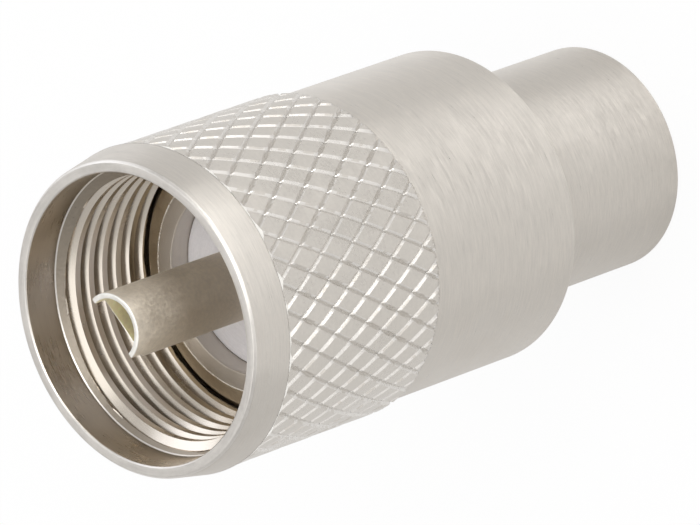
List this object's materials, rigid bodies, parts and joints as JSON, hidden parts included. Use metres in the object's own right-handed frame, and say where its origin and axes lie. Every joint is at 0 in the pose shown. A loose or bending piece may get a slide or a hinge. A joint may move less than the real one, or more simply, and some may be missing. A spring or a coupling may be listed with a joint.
{
  "type": "uhf coaxial connector plug",
  "caption": "Round metal radio-frequency plug with a diamond-knurled coupling ring, a hollow centre contact in a white insulator and a plain barrel for coaxial cable.",
  "frame": {"origin": "centre of the barrel's cable end, on the axis, where the plug stands", "axes": "+Z along the axis from the cable end to the mating end; +X is square to it, 146 degrees before the middle of the open side of the contact's tip"},
  "size_m": [0.0184, 0.0184, 0.0393],
  "materials": {
    "nickel_ring": "nickel plated, fine turning marks",
    "nickel_body": "nickel plated, satin",
    "white_insulator": "satin, slightly translucent white",
    "silver_contact": "dull silver plated"
  },
  "bodies": {
    "plug": {"plug_body": "nickel_body", "insulator": "white_insulator", "centre_contact": "silver_contact"},
    "coupling": {"coupling_ring": "nickel_ring"}
  },
  "joints": [
    {"name": "coupling_spin", "type": "hinge", "parent": "plug", "child": "coupling", "pos_m": [0, 0, 0.0245], "axis": [0, 0, 1], "continuous": true}
  ]
}
